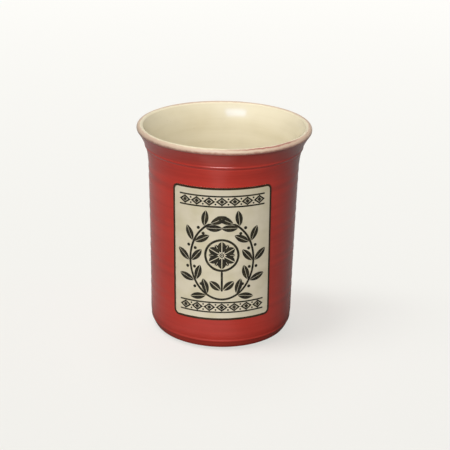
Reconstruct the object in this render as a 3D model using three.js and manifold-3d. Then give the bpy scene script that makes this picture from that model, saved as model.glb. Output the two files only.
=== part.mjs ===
// A wheel-thrown stoneware mug: flared lip, pulled strap handle, red glaze outside, cream glaze inside and a
// printed label on the front. Millimetres, +Z up. The origin is the centre of the flat base. The handle stands
// on +Y, and the label faces -Y, turned a little towards +X as it was set by hand.
import * as THREE from 'three';
import { mergeVertices } from 'three/addons/utils/BufferGeometryUtils.js';
import Module from 'manifold-3d';

const wasm = await Module();
wasm.setup();

// Thrown body, bare clay
const height = 109.8; // base to the top of the lip
const footRadius = 32.4; // flat base
const heelHeight = 10; // rounded edge between the base and the wall
const wallRadius = 36.95; // outside, just above the heel
const wallSpread = 1.65; // how much wider the wall is under the lip, before the flare is added
const wallBow = 1.6; // 1 is a straight cone, and more keeps the lower wall upright
const flareLength = 21.5; // height over which the lip flares
const flareReach = 5.3; // how far the flare carries the lip outwards
const flareSharpness = 2.8; // power of the flare's curve
const lipRadius = 1.2; // half the thickness of the rounded lip
const wallThickness = 3.6; // at the floor, thinning evenly to the lip
const floorThickness = 6;
const cornerRadius = 7; // inside, between the floor and the wall
const ridgeDrop = 9.9; // from the top of the lip down to the turned ridge
const ridgeWidth = 1.2; // and the width of the groove under it
const ridgeHeight = 0.3;
const grooveDepth = 0.25;

// Glaze coats
const glazeThickness = 0.5;
const glazeLine = 1.6; // height of bare clay above the base
const bondGap = 0.05; // between two layers that are fired together
const seamGap = 0.15; // between two coats that meet edge to edge

// Pulled handle: a strap along one curve from the upper joint to the lower joint
const handleTopDrop = 19.4; // from the top of the lip to the upper root
const handleFootLift = 33.4; // from the base to the lower root
const rootDepth = 6; // start of the curve, inwards from the face of the wall
const handleReach = 35.5; // from the wall to the middle of the strap where it stands furthest out
const shoulderRise = 40.2; // how high the upper bend is pulled above the upper root
const bellyRise = 19; // how high the lower bend is pulled above the lower root
const handleTopWidth = 17;
const handleFootWidth = 14.5;
const handleTopThickness = 6.8;
const handleFootThickness = 6;
const rootFlare = 2.4; // extra width where the strap is pressed on to the wall
const rootShare = 0.2; // share of the curve over which that width dies away
const strapSquareness = 0.8; // 1 is an oval section, and less is squarer
const slipThickness = 1; // slip between the strap and the wall
const slipMargin = 1.2; // bead of slip around the strap

// Label: a panel in a window of the red coat, with ink on it
const labelWidth = 53; // along the curved wall
const labelLift = 17.6; // from the base to its lower edge
const labelDrop = 20.6; // from the top of the lip to its upper edge
const labelCorner = 3;
const labelTurn = 4; // degrees about +Z from -Y towards +X
const borderWidth = 1.1;
const inkThickness = 0.15;
const inkMargin = 3; // from the border to the ornament

// Printed ornament: a flower on a stem inside a wreath, between two bands of lozenges
const flowerLift = 3; // above the middle of the wreath
const flowerRing = 1.2; // width of the ring that the petals end in
const petals = 6;
const petalWidth = 4.4;
const stemWidth = 1.1;
const stemLeafLength = 7;
const wreathLeaves = 5; // pairs of leaves on each side
const leafLength = 8.8;
const leafWidth = 3.9;
const leafAngle = 42; // degrees from the stem
const bandHeight = 6.2;
const bandLozenges = 7;
const ruleWidth = 0.8; // lines along both edges of a band
const ornamentGap = 1.4; // between the flower, the wreath and the bands

// Fineness of the facets
const turnSegments = 56;
const strapSteps = 20;
const strapSides = 12;

// Sizes that follow from these
const coat = bondGap + glazeThickness;
const lipSlope = Math.atan((flareReach * flareSharpness) / flareLength);
const flareTop = height - lipRadius * (1 + Math.sin(lipSlope));
const flareStart = flareTop - flareLength;
const ridgeZ = height - ridgeDrop;
const labelTop = height - labelDrop;
const labelHeight = labelTop - labelLift;
const labelMiddle = (labelTop + labelLift) / 2;
const handleTop = height - handleTopDrop;

// Profiles are lists of points (radius, height), running up the outside and down the inside.
const point = (r, z) => new THREE.Vector2(r, z);

// Radius of the clay's outside at a height, without the ridge and the groove.
function outsideRadius(z) {
  if (z < heelHeight) {
    const rise = 1 - z / heelHeight;
    return footRadius + (wallRadius - footRadius) * Math.sqrt(1 - rise * rise);
  }
  const up = (z - heelHeight) / (flareTop - heelHeight);
  const flare = Math.max(0, (z - flareStart) / flareLength);
  return wallRadius + wallSpread * up ** wallBow + flareReach * flare ** flareSharpness;
}

// Unit normals of a profile, to the right of its direction of travel.
function normalsOf(run) {
  return run.map((p, i) => {
    const before = run[Math.max(0, i - 1)];
    const after = run[Math.min(run.length - 1, i + 1)];
    const along = after.clone().sub(before).normalize();
    return point(along.y, -along.x);
  });
}

// A profile moved to its right by a distance.
function offset(run, distance) {
  const normals = normalsOf(run);
  return run.map((p, i) => p.clone().addScaledVector(normals[i], distance));
}

const spread = (from, to, steps) =>
  Array.from({ length: steps + 1 }, (_, i) => from + ((to - from) * i) / steps);

// Outside of the clay from one height to the top of the flare, with the ridge and the groove turned on it.
function outsideRun(from) {
  const heel = spread(0, Math.PI / 2, 6).map((a) => heelHeight * (1 - Math.cos(a)));
  const wall = spread(heelHeight, flareStart, 3);
  const flare = spread(flareStart, flareTop, 8);
  const smooth = [...heel, ...wall.slice(1), ...flare.slice(1)]
    .filter((z) => z > from && Math.abs(z - ridgeZ) > 2 * ridgeWidth)
    .map((z) => point(outsideRadius(z), z));
  const steps = [0, -grooveDepth, ridgeHeight, 0].map((step, i) => {
    const z = ridgeZ + (i - 2) * ridgeWidth;
    return point(outsideRadius(z) + step, z);
  });
  return [point(outsideRadius(from), from), ...smooth, ...steps].sort((p, q) => p.y - q.y);
}

// Round lip from the end of the outside to the start of the inside, trimmed at both ends.
function lipRun(trim) {
  const end = point(outsideRadius(flareTop), flareTop);
  const centre = end.clone().add(point(-Math.cos(lipSlope), Math.sin(lipSlope)).multiplyScalar(lipRadius));
  return spread(trim - lipSlope, Math.PI - lipSlope - trim, 6).map((a) =>
    point(centre.x + lipRadius * Math.cos(a), centre.y + lipRadius * Math.sin(a)),
  );
}

// Inside of the clay from the lip down to the axis.
function insideRun() {
  const cornerTop = floorThickness + cornerRadius;
  const heights = [...spread(flareTop, flareStart, 5), ...spread(flareStart, cornerTop, 2).slice(1)];
  const outside = heights.map((z) => point(outsideRadius(z), z)).reverse();
  const normals = normalsOf(outside);
  const wall = outside
    .map((p, i) => {
      const up = (p.y - floorThickness) / (flareTop - floorThickness);
      const thickness = wallThickness + (2 * lipRadius - wallThickness) * up;
      return p.clone().addScaledVector(normals[i], -thickness);
    })
    .reverse();
  const foot = wall[wall.length - 1];
  const corner = spread(0, Math.PI / 2, 4).map((a) =>
    point(
      foot.x - cornerRadius * (1 - Math.cos(a)),
      floorThickness + (foot.y - floorThickness) * (1 - Math.sin(a)),
    ),
  );
  return [...wall.slice(0, -1), ...corner, point(0, floorThickness)];
}

// A solid of revolution about +Z. The profile starts and ends on the axis, or is closed here.
function turned(profile) {
  const onAxis = profile[0].x === 0 && profile[profile.length - 1].x === 0;
  const closed = onAxis ? profile : [...profile, profile[0]];
  return new THREE.LatheGeometry(closed, turnSegments).rotateX(Math.PI / 2);
}

// A coat over a profile, from one distance off it to another.
const coatOver = (run, inner, outer) => turned([...offset(run, inner).reverse(), ...offset(run, outer)]);

// Closed geometry to a solid that can be cut and joined, and back.
function solid(geometry) {
  const bare = geometry.clone();
  bare.deleteAttribute('normal');
  bare.deleteAttribute('uv');
  const merged = mergeVertices(bare);
  return new wasm.Manifold(
    new wasm.Mesh({
      numProp: 3,
      vertProperties: new Float32Array(merged.attributes.position.array),
      triVerts: new Uint32Array(merged.index.array),
    }),
  );
}

function geometryOf(body) {
  const { vertProperties, triVerts } = body.getMesh();
  const geometry = new THREE.BufferGeometry();
  geometry.setAttribute('position', new THREE.BufferAttribute(new Float32Array(vertProperties), 3));
  geometry.setIndex(new THREE.BufferAttribute(new Uint32Array(triVerts), 1));
  geometry.computeVertexNormals();
  return geometry;
}

const joined = (bodies) => bodies.reduce((whole, body) => whole.add(body));

// Strap handle, or a length of it, made fatter all round by a distance.
function strap(fatter, from, to) {
  const top = outsideRadius(handleTop);
  const foot = outsideRadius(handleFootLift);
  const pull = (4 * handleReach + rootDepth) / 3; // puts the middle of the curve at the reach
  const curve = new THREE.CubicBezierCurve3(
    new THREE.Vector3(0, top - rootDepth, handleTop),
    new THREE.Vector3(0, top + pull, handleTop + shoulderRise),
    new THREE.Vector3(0, foot + pull, handleFootLift + bellyRise),
    new THREE.Vector3(0, foot - rootDepth, handleFootLift),
  );
  const fade = (share) => Math.max(0, 1 - share / rootShare) ** 2;
  const squared = (value) => Math.sign(value) * Math.abs(value) ** strapSquareness;
  const corners = [];
  const triangles = [];
  spread(from, to, strapSteps).forEach((t) => {
    const centre = curve.getPoint(t);
    const along = curve.getTangent(t);
    const out = new THREE.Vector3(0, along.z, -along.y);
    const width = THREE.MathUtils.lerp(handleTopWidth, handleFootWidth, t) + rootFlare * (fade(t) + fade(1 - t));
    const thickness = THREE.MathUtils.lerp(handleTopThickness, handleFootThickness, t);
    spread(0, 2 * Math.PI, strapSides)
      .slice(0, -1)
      .forEach((a) => {
        const corner = centre.clone().addScaledVector(out, (thickness / 2 + fatter) * squared(Math.sin(a)));
        corner.x += (width / 2 + fatter) * squared(Math.cos(a));
        corners.push(corner);
      });
  });
  const at = (step, side) => step * strapSides + (side % strapSides);
  for (let step = 0; step < strapSteps; step += 1) {
    for (let side = 0; side < strapSides; side += 1) {
      triangles.push(at(step, side), at(step, side + 1), at(step + 1, side + 1));
      triangles.push(at(step, side), at(step + 1, side + 1), at(step + 1, side));
    }
  }
  for (let side = 1; side < strapSides - 1; side += 1) {
    triangles.push(at(0, 0), at(0, side + 1), at(0, side));
    triangles.push(at(strapSteps, 0), at(strapSteps, side), at(strapSteps, side + 1));
  }
  return solid(new THREE.BufferGeometry().setFromPoints(corners).setIndex(triangles));
}

// Everything within a distance of the outside of the wall, filled to the axis.
function wallCore(distance) {
  const run = offset(outsideRun(glazeLine), distance);
  return solid(turned([point(0, run[0].y), ...run, point(0, run[run.length - 1].y)]));
}

// Flat outlines on the label are points (along the wall, up from the label's middle). A prism through the wall
// carries each outline round the curve, so that its lengths hold on the wall.
const labelRadius = outsideRadius(labelMiddle) + coat;

function prism(outline, holes = []) {
  const wrapped = (points) =>
    points.map((p) => point(labelRadius * Math.sin(p.x / labelRadius), p.y + labelMiddle));
  const shape = new THREE.Shape(wrapped(outline));
  shape.holes = holes.map((hole) => new THREE.Path(wrapped(hole)));
  const geometry = new THREE.ExtrudeGeometry(shape, { depth: 2 * labelRadius, bevelEnabled: false });
  geometry.rotateX(Math.PI / 2).rotateZ(THREE.MathUtils.degToRad(labelTurn));
  return solid(geometry);
}

// Rounded panel outline, smaller than the label by an inset all round.
function panel(inset) {
  const x = labelWidth / 2 - inset;
  const y = labelHeight / 2 - inset;
  const r = Math.max(labelCorner - inset, seamGap);
  const shape = new THREE.Shape();
  shape.absarc(x - r, y - r, r, 0, Math.PI / 2);
  shape.absarc(-x + r, y - r, r, Math.PI / 2, Math.PI);
  shape.absarc(-x + r, -y + r, r, Math.PI, 1.5 * Math.PI);
  shape.absarc(x - r, -y + r, r, 1.5 * Math.PI, 2 * Math.PI);
  return shape.getPoints(4);
}

const disc = (centre, radius, steps) =>
  spread(0, 2 * Math.PI, steps)
    .slice(0, -1)
    .map((a) => point(centre.x + radius * Math.cos(a), centre.y + radius * Math.sin(a)));

// Pointed leaf from a stalk point, along a direction in radians.
function leaf(stalk, angle, length, width) {
  const tip = point(length, 0);
  const shape = new THREE.Shape();
  shape.moveTo(0, 0);
  shape.quadraticCurveTo(length / 2, -width, tip.x, tip.y);
  shape.quadraticCurveTo(length / 2, width, 0, 0);
  return shape
    .getPoints(3)
    .slice(0, -1)
    .map((p) => p.rotateAround(point(0, 0), angle).add(stalk));
}

// A line of one width along a list of points.
function stroke(points, width) {
  const left = offset(points, -width / 2);
  const right = offset(points, width / 2);
  return [...right, ...left.reverse()];
}

const degrees = THREE.MathUtils.degToRad;
const inkFoot = -labelHeight / 2 + borderWidth + inkMargin;
const inkTop = labelHeight / 2 - borderWidth - inkMargin;
const inkSide = labelWidth / 2 - borderWidth - inkMargin;
const leafReach = leafLength * Math.sin(degrees(leafAngle));
const wreathWidth = 2 * (inkSide - leafReach);
const wreathHeight = inkTop - inkFoot - 2 * (bandHeight + ornamentGap) - leafReach;
const wreathMiddle = -leafReach / 2;
const wreathFoot = wreathMiddle - wreathHeight / 2;
const flowerRadius = wreathWidth / 2 - leafReach - ornamentGap;

// Flower: petals that end in a ring, a stem below it and a pair of leaves on the stem.
function flower() {
  const heart = point(0, wreathMiddle + flowerLift);
  const foot = point(0, wreathFoot + leafLength / 2);
  const ringInside = flowerRadius - flowerRing;
  const ring = prism(disc(heart, flowerRadius, 20), [disc(heart, ringInside, 20)]);
  const blades = spread(0, 2 * Math.PI, petals)
    .slice(0, -1)
    .map((turn) => prism(leaf(heart, turn + Math.PI / 2, ringInside + flowerRing / 2, petalWidth)));
  const stem = prism(stroke([foot, point(0, heart.y - ringInside - flowerRing / 2)], stemWidth));
  const pair = [leafAngle, 180 - leafAngle].map((turn) =>
    prism(leaf(foot.clone(), degrees(turn), stemLeafLength, leafWidth)),
  );
  return joined([ring, prism(disc(heart, stemWidth, 10)), ...blades, stem, ...pair]);
}

// Wreath: two stems up an oval that cross at its foot, with pairs of leaves and one at each tip.
function wreath() {
  const bodies = [];
  [-1, 1].forEach((side) => {
    const at = (turn) =>
      point((side * wreathWidth * Math.sin(turn)) / 2, wreathMiddle - (wreathHeight * Math.cos(turn)) / 2);
    const heading = (turn) => Math.atan2(wreathHeight * Math.sin(turn), side * wreathWidth * Math.cos(turn));
    bodies.push(prism(stroke(spread(degrees(-14), degrees(160), 14).map(at), stemWidth)));
    bodies.push(prism(leaf(at(degrees(158)), heading(degrees(158)), leafLength, leafWidth)));
    spread(degrees(26), degrees(146), wreathLeaves - 1).forEach((turn) => {
      [-leafAngle, leafAngle].forEach((lean) => {
        bodies.push(prism(leaf(at(turn), heading(turn) + degrees(lean), leafLength, leafWidth)));
      });
    });
  });
  return joined(bodies);
}

// Band: lozenges between two rules, at a height on the label.
function band(bandMiddle) {
  const half = bandHeight / 2;
  const pitch = (2 * inkSide - bandHeight) / (bandLozenges - 1);
  const ruleRise = half - ruleWidth / 2;
  const rules = [bandMiddle - ruleRise, bandMiddle + ruleRise].map((y) =>
    prism(stroke([point(-inkSide, y), point(inkSide, y)], ruleWidth)),
  );
  const lozenges = spread(0, bandLozenges - 1, bandLozenges - 1).map((i) => {
    const x = half - inkSide + i * pitch;
    return prism([
      point(x - half, bandMiddle),
      point(x, bandMiddle - ruleRise),
      point(x + half, bandMiddle),
      point(x, bandMiddle + ruleRise),
    ]);
  });
  return joined([...rules, ...lozenges]);
}

// Clay
const outside = outsideRun(0);
const bodyGeometry = turned([point(0, 0), ...outside, ...lipRun(0).slice(1, -1), ...insideRun()]);
const handleSeat = wallCore(slipThickness + bondGap);
const handleSolid = strap(0, 0, 1).subtract(handleSeat);
const slipBed = solid(coatOver(outsideRun(glazeLine), bondGap, slipThickness));
const slipReach = coat + slipMargin;
const upperSlip = strap(slipReach, 0, 0.5).intersect(slipBed);
const lowerSlip = strap(slipReach, 0.5, 1).intersect(slipBed);

// Glaze
const redCoat = solid(coatOver(outsideRun(glazeLine), bondGap, coat));
const wallGlaze = redCoat
  .subtract(prism(panel(0)))
  .subtract(strap(slipReach + seamGap, 0, 0.5))
  .subtract(strap(slipReach + seamGap, 0.5, 1));
const handleGlaze = strap(coat, 0, 1).subtract(strap(bondGap, 0, 1)).subtract(handleSeat);
const linerGeometry = coatOver(insideRun(), bondGap, coat);
const lipGeometry = coatOver(lipRun(seamGap / lipRadius), bondGap, coat);

// Label
const labelGround = redCoat.intersect(prism(panel(seamGap)));
const ink = solid(coatOver(outsideRun(glazeLine), coat + bondGap, coat + bondGap + inkThickness));
const labelBorder = ink.intersect(prism(panel(seamGap), [panel(borderWidth)]));

const finish = (color, roughness) => new THREE.MeshStandardMaterial({ color, roughness, metalness: 0 });

function piece(name, shape, material) {
  const geometry = shape.isBufferGeometry ? shape : geometryOf(shape);
  const mesh = new THREE.Mesh(geometry, material);
  mesh.name = name;
  return mesh;
}

const mug = new THREE.Group();
mug.name = 'mug';
mug.add(
  piece('thrown_body', bodyGeometry, finish('#c8ad88', 0.9)),
  piece('handle', handleSolid, finish('#c4a882', 0.9)),
  piece('upper_slip_joint', upperSlip, finish('#b4926c', 0.85)),
  piece('lower_slip_joint', lowerSlip, finish('#b4926c', 0.85)),
  piece('wall_glaze', wallGlaze, finish('#a23a32', 0.2)),
  piece('handle_glaze', handleGlaze, finish('#9c3830', 0.2)),
  piece('liner_glaze', linerGeometry, finish('#e6dab9', 0.25)),
  piece('lip_glaze', lipGeometry, finish('#dfbfae', 0.35)),
  piece('label_ground', labelGround, finish('#d6cbae', 0.35)),
  piece('label_border', labelBorder, finish('#4a2d1a', 0.45)),
  piece('print_flower', ink.intersect(flower()), finish('#3b352b', 0.45)),
  piece('print_wreath', ink.intersect(wreath()), finish('#3a332a', 0.45)),
  piece('print_upper_band', ink.intersect(band(inkTop - bandHeight / 2)), finish('#3d342a', 0.45)),
  piece('print_lower_band', ink.intersect(band(inkFoot + bandHeight / 2)), finish('#3d342a', 0.45)),
);

export default mug;
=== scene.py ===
"""Looks of a wheel-thrown stoneware mug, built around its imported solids."""

import functools
import math

import bmesh
import bpy
from bpy.props import FloatProperty, FloatVectorProperty, IntProperty, PointerProperty
from mathutils import Matrix, Vector


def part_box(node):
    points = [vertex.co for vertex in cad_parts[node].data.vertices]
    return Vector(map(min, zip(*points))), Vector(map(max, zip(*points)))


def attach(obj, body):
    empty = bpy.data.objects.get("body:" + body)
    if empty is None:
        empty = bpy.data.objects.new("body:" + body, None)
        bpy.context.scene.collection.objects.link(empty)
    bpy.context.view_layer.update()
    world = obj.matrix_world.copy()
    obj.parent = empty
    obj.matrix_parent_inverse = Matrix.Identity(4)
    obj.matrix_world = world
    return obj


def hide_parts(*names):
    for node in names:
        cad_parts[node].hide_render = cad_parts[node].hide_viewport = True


bl_info = {
    "name": "Stoneware Mug",
    "version": (1, 0, 0),
    "blender": (4, 5, 0),
    "location": "View3D > Sidebar > Mug",
    "description": "Builds a glazed wheel-thrown mug with a printed label",
    "category": "Add Mesh",
}

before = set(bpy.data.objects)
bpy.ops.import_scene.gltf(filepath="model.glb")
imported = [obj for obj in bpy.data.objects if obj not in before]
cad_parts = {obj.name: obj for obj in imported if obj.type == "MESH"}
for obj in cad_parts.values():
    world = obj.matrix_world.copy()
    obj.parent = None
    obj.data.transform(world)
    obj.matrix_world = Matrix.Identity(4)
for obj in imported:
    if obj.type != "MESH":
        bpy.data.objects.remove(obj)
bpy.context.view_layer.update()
BODY = "root"
MM = 0.001
QUARTER = math.pi / 2
# Points along each stretch of the profiles
STEPS = {"edge": 5, "heel": 36, "roll": 40, "wall": 70, "ridge": 60, "flare": 36, "lip": 22,
         "inner_flare": 22, "inner_wall": 56, "corner": 14, "floor": 10}
# Corners of the motifs that the label's print is drawn from
CORNERS = {"leaf": 96, "stem": 160, "ring": 96, "inner_ring": 48, "heart": 20, "berry": 20, "dot": 16,
           "lozenge": 4, "inner_lozenge": 4}
# The hidden face of a coat keeps one point in so many of its profile
WALL_THINNING, LIP_THINNING = 8, 3
SMOOTH_ANGLE = math.radians(40)


def linear(hex_colour):
    """An sRGB hex colour as linear red, green, blue and alpha."""
    parts = [int(hex_colour[i:i + 2], 16) / 255 for i in (1, 3, 5)]
    return [p / 12.92 if p <= 0.04045 else ((p + 0.055) / 1.055) ** 2.4 for p in parts] + [1.0]


def length(name, description, millimetres):
    """A length that a user can change, with its default in millimetres."""
    return FloatProperty(name=name, description=description, default=millimetres * MM, precision=5,
                         subtype="DISTANCE", unit="LENGTH")


def angle(name, description, degrees):
    """An angle that a user can change, with its default in degrees."""
    return FloatProperty(name=name, description=description, default=math.radians(degrees), subtype="ANGLE")


def colour(name, description, hex_colour):
    """A colour that a user can change, with its default as sRGB hex."""
    return FloatVectorProperty(name=name, description=description, default=linear(hex_colour), size=4,
                               min=0, max=1, subtype="COLOR")


class MugSizes(bpy.types.PropertyGroup):
    """Sizes of the clay, the glaze coats, the handle and the label"""

    height: length("Height", "Base to the top of the bare lip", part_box("thrown_body")[1].z / MM - 0.02)
    foot_radius: length("Foot radius", "Flat base", 32.4)
    heel_height: length("Heel height", "Rounded edge between the base and the wall", 10)
    wall_radius: length("Wall radius", "Outside of the clay just above the heel", 36.95)
    wall_spread: length("Wall spread", "How much wider the wall is under the lip", 1.65)
    wall_bow: FloatProperty(name="Wall bow", description="1 is a straight cone", default=1.6)
    flare_length: length("Flare length", "Height over which the lip flares", 21.5)
    flare_reach: length("Flare reach", "How far the flare carries the lip out", 5.3)
    flare_sharpness: FloatProperty(name="Flare sharpness", description="Power of its curve", default=2.8)
    lip_radius: length("Lip radius", "Half the thickness of the rounded lip", 1.2)
    wall_thickness: length("Wall thickness", "Clay at the floor, thinning to the lip", 3.6)
    floor_thickness: length("Floor thickness", "Clay of the floor", 6)
    corner_radius: length("Corner radius", "Inside, between the floor and the wall", 7)
    ridge_drop: length("Ridge drop", "Top of the lip down to the turned ridge", 9.9)
    ridge_width: length("Ridge width", "Ridge, and the groove under it", 1.2)
    ridge_height: length("Ridge height", "How far the ridge stands out", 0.3)
    groove_depth: length("Groove depth", "How deep the groove is", 0.15)
    bond_gap: length("Bond gap", "Between the clay and a coat", 0.05)
    glaze: length("Glaze", "Thickness of a coat", 0.5)
    glaze_line: length("Glaze line", "Bare clay above the base", 1.6)
    roll_lift: length("Glaze roll lift", "Base to the roll where the red coat gathered", 5.3)
    roll_width: length("Glaze roll width", "Roll of the red coat", 1.8)
    roll_height: length("Glaze roll height", "How far the roll stands out", 0.26)
    ring_height: length("Throwing rings", "Height of the rings that fingers left", 0.09)
    ring_pitch: length("Ring pitch", "Rise of a throwing ring", 5.4)
    handle_top_drop: length("Handle top drop", "Top of the lip to the upper root", 19.4)
    handle_foot_lift: length("Handle foot lift", "Base to the lower root", 33.4)
    root_depth: length("Root depth", "Start of the handle's curve inside the wall", 6)
    handle_reach: length("Handle reach", "Wall to the middle of the strap", 35.5)
    shoulder_rise: length("Shoulder rise", "Pull of the upper bend", 40.2)
    belly_rise: length("Belly rise", "Pull of the lower bend", 19)
    strap_top_width: length("Strap top width", "Bare strap at the upper root", 17)
    strap_foot_width: length("Strap foot width", "Bare strap at the lower root", 14.5)
    strap_top_thickness: length("Strap top thickness", "Bare strap at the upper root", 6.8)
    strap_foot_thickness: length("Strap foot thickness", "Bare strap at the lower root", 6)
    root_flare: length("Root flare", "Width added where the strap is pressed on", 2.4)
    label_width: length("Label width", "Along the curved wall", 52.3)
    label_lift: length("Label lift", "Base to the label's lower edge", 17.6)
    label_drop: length("Label drop", "Top of the lip to the label's upper edge", 20.6)
    label_corner: length("Label corner", "Rounding of the label", 3)
    label_turn: angle("Label turn", "About the axis, from the front", 4)
    label_tilt: angle("Label tilt", "How far askew the label was laid", 0.9)
    border_width: length("Border width", "Line round the label", 1.1)
    panel_lift: length("Panel lift", "Face of the label's ground over the red coat", 0.07)
    ink_lift: length("Ink lift", "Face of the print over the red coat", 0.12)
    ink_thickness: length("Ink thickness", "Fired layer of the print", 0.04)
    ink_margin: length("Ink margin", "Between the border and the ornament", 3)
    leaf_length: length("Leaf length", "Leaves of the wreath", 8.8)
    leaf_width: length("Leaf width", "Leaves of the wreath", 3.9)
    leaf_angle: angle("Leaf angle", "Between a leaf and its stem", 42)
    vein: length("Vein", "Bare line between the blades of a leaf", 0.32)
    stem: length("Stem", "Lines of the wreath and the flower", 1.1)
    petal_width: length("Petal width", "Petals of the flower", 4.3)
    flower_lift: length("Flower lift", "Above the middle of the wreath", 3)
    flower_ring: length("Flower ring", "Width of the ring round the petals", 1.2)
    band_height: length("Band height", "Band of lozenges between two rules", 6.2)
    rule_width: length("Rule width", "Lines of a band", 0.8)
    ornament_gap: length("Ornament gap", "Between the flower, the wreath and the bands", 1.4)
    grid_step: length("Grid step", "Between the cuts that let a flat drawing bend", 1.2)
    petals: IntProperty(name="Petals", description="Petals of the flower", default=6, min=3)
    leaf_pairs: IntProperty(name="Leaf pairs", description="On each side of the wreath", default=5, min=2)
    lozenges: IntProperty(name="Lozenges", description="In a band", default=7, min=3)
    turn_steps: IntProperty(name="Turn steps", description="Facets round the mug", default=192, min=24)


class MugColours(bpy.types.PropertyGroup):
    """Colours of the clay, the glazes and the inks"""

    red: colour("Red glaze", "Even coat of the outside", "#b22c20")
    red_deep: colour("Deep red", "Where the red coat is thick", "#982519")
    red_bright: colour("Bright red", "Where the red coat is thin and smooth", "#bb3528")
    # Burnt red also paints shade over the flare, at the lip and at the heel; in the clay it colours the grog
    burnt_red_and_shade: colour("Burnt red", "Where the red coat breaks at an edge", "#7a3325")
    cream: colour("Cream glaze", "Even coat of the inside", "#e0d6bc")
    cream_deep: colour("Deep cream", "Where the cream coat pools", "#cbbe9c")
    lip: colour("Lip", "Red showing through a thin cream coat", "#d0bba4")
    lip_deep: colour("Deep lip", "Where more of the red shows through on the lip", "#bc9c8a")
    lip_brown: colour("Lip edge", "Burnt line at the edge of the lip", "#a0675a")
    clay: colour("Clay", "Bare fired body", "#c6aa82")
    clay_dark: colour("Dark clay", "Toasted patches and grog", "#a07f58")
    label: colour("Label", "Cream ground of the label", "#d4cab2")
    label_deep: colour("Deep label", "Thicker patches of the label", "#c8be9f")
    ink: colour("Ink", "Print of the label", "#1b180e")
    ink_thin: colour("Thin ink", "Where the print is starved", "#3a3422")
    border: colour("Border", "Line round the label", "#2b1a06")
    border_thin: colour("Thin border", "Where the line is starved", "#402a14")
    floor: colour("Floor", "Pale studio floor", "#e5e4e0")


def sizes():
    return bpy.context.scene.mug_sizes


def colours():
    return bpy.context.scene.mug_colours


def clamp(value):
    return min(1, max(0, value))


def eased(value):
    """A clamped share with a soft start and end."""
    share = clamp(value)
    return share ** 2 * (3 - 2 * share)


def bell(distance, width):
    return math.exp(-(distance / width) ** 2)


def spread(start, end, steps):
    """Evenly spaced values, with both ends."""
    return [start + (end - start) * i / steps for i in range(steps + 1)]


def from_point(x, y, far, turn):
    """The point at a distance and an angle from another."""
    return x + far * math.cos(turn), y + far * math.sin(turn)


def bearing(turn, rise):
    """Unit vector at angles round the mug, from its front, and above the floor."""
    return Vector((math.sin(turn) * math.cos(rise), -math.cos(turn) * math.cos(rise), math.sin(rise)))


# Profiles: lists of (radius, height) in metres, up the outside and down the inside


def lip_slope():
    """Lean of the wall where the flare ends."""
    s = sizes()
    return math.atan(s.flare_reach * s.flare_sharpness / s.flare_length)


def flare_top():
    """Height where the flare ends and the lip's rounding starts."""
    s = sizes()
    return s.height - s.lip_radius * (1 + math.sin(lip_slope()))


def ridge_z():
    return sizes().height - sizes().ridge_drop


def outside_radius(z):
    """Radius of the clay's outside at a height, smooth."""
    s = sizes()
    if z < s.heel_height:
        rise = 1 - z / s.heel_height
        return s.foot_radius + (s.wall_radius - s.foot_radius) * math.sqrt(max(0, 1 - rise * rise))
    up = (z - s.heel_height) / (flare_top() - s.heel_height)
    flare = max(0, (z - flare_top() + s.flare_length) / s.flare_length)
    return s.wall_radius + s.wall_spread * up ** s.wall_bow + s.flare_reach * flare ** s.flare_sharpness


def turned_marks(z):
    """The ridge, the groove under it, the roll at the heel and the throwing rings, added to the outside. The
    ridge is gentler on its upper side, and the rings vary up the wall."""
    s = sizes()
    half = s.ridge_width / 3
    over = z - ridge_z()
    ridge = s.ridge_height * bell(over, half if over < 0 else half * 1.1)
    groove = s.groove_depth * bell(over + s.ridge_width, half)
    roll = s.roll_height * bell(z - s.roll_lift, s.roll_width / 3)
    fade = clamp((z - s.heel_height) / s.ring_pitch) * clamp(-over / s.ring_pitch)
    wander = 0.6 + 0.4 * math.sin(z / s.ring_pitch * 1.7)
    rings = s.ring_height * fade * wander * math.sin(2 * math.pi * z / s.ring_pitch)
    return ridge - groove + roll + rings


def normals_of(run):
    """Unit normals of a profile, to the right of its travel."""
    out = []
    for i in range(len(run)):
        before, after = Vector(run[max(0, i - 1)]), Vector(run[min(len(run) - 1, i + 1)])
        along = (after - before).normalized()
        out.append(Vector((along.y, -along.x)))
    return out


def offset(run, distance, last=None, first=None):
    """A profile moved to its right, with the end normals given where the next coat meets it."""
    normals = normals_of(run)
    if last:
        normals[-1] = Vector(last)
    if first:
        normals[0] = Vector(first)
    return [tuple(Vector(p) + n * distance) for p, n in zip(run, normals)]


def coat_faces(run, **ends):
    """Outer and inner face of a glaze coat on a run of the clay."""
    s = sizes()
    return offset(run, s.bond_gap + s.glaze, **ends), offset(run, s.bond_gap, **ends)


def outside_run(start):
    """Outside of the clay from a height up to the lip, with more points at the ridge and the roll."""
    s = sizes()
    flare_start = flare_top() - s.flare_length
    heel = [s.heel_height * (1 - math.cos(a)) for a in spread(0, QUARTER, STEPS["heel"])]
    wall = spread(s.heel_height, flare_start, STEPS["wall"])
    flare = spread(flare_start, flare_top(), STEPS["flare"])
    near = spread(ridge_z() - 3 * s.ridge_width, ridge_z() + 2 * s.ridge_width, STEPS["ridge"])
    roll = spread(s.roll_lift - s.roll_width, s.roll_lift + s.roll_width, STEPS["roll"])
    heights = [z for z in heel + wall[1:] + flare[1:]
               if z > start and not near[0] < z < near[-1] and not roll[0] < z < roll[-1]]
    return [(outside_radius(z) + turned_marks(z), z) for z in sorted([start] + heights + near + roll)]


def lip_centre():
    """Middle of the lip's rounding."""
    slope = lip_slope()
    end = Vector((outside_radius(flare_top()), flare_top()))
    return end + Vector((-math.cos(slope), math.sin(slope))) * sizes().lip_radius


def lip_run(distance):
    """Round lip at a distance from the clay."""
    slope = lip_slope()
    radius = sizes().lip_radius + distance
    return [from_point(*lip_centre(), radius, a) for a in spread(-slope, math.pi - slope, STEPS["lip"])]


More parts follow.
